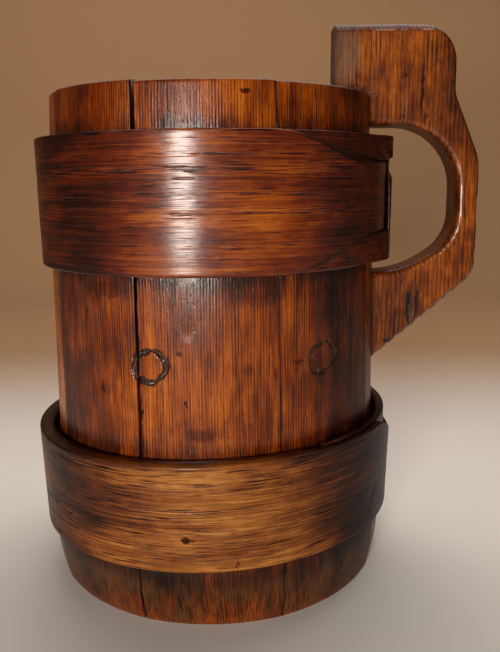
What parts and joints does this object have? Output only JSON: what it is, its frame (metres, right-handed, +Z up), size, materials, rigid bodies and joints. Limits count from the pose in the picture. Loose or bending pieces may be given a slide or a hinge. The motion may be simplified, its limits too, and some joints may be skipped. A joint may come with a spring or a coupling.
{
  "type": "coopered ale mug",
  "caption": "Coopered wooden ale mug: upright staves around a bottom board, bound by lapped bentwood hoops, with a sawn handle standing above the rim.",
  "frame": {"origin": "level with the foot, at the centre of the whole mug's footprint, handle included; the axis of the staves is 18.15 mm behind it, at -X", "axes": "+Z up along the mug's axis, +X towards the handle, the pictured front faces -Y"},
  "size_m": [0.2012, 0.165, 0.2411],
  "materials": {
    "stave_wood": "worn softwood under an aged glossy varnish",
    "handle_wood": "ridged softwood under an aged glossy varnish",
    "board_wood": "dark unvarnished softwood",
    "hoop_wood": "open-pored bent hardwood under an aged glossy varnish"
  },
  "bodies": {
    "root": {"stave_front": "stave_wood", "stave_front_left": "stave_wood", "stave_front_right": "stave_wood", "stave_left": "stave_wood", "stave_back_left": "stave_wood", "stave_back": "stave_wood", "stave_back_right": "stave_wood", "handle_stave": "handle_wood", "bottom_board": "board_wood", "upper_hoop": "hoop_wood", "lower_hoop": "hoop_wood"}
  },
  "joints": []
}
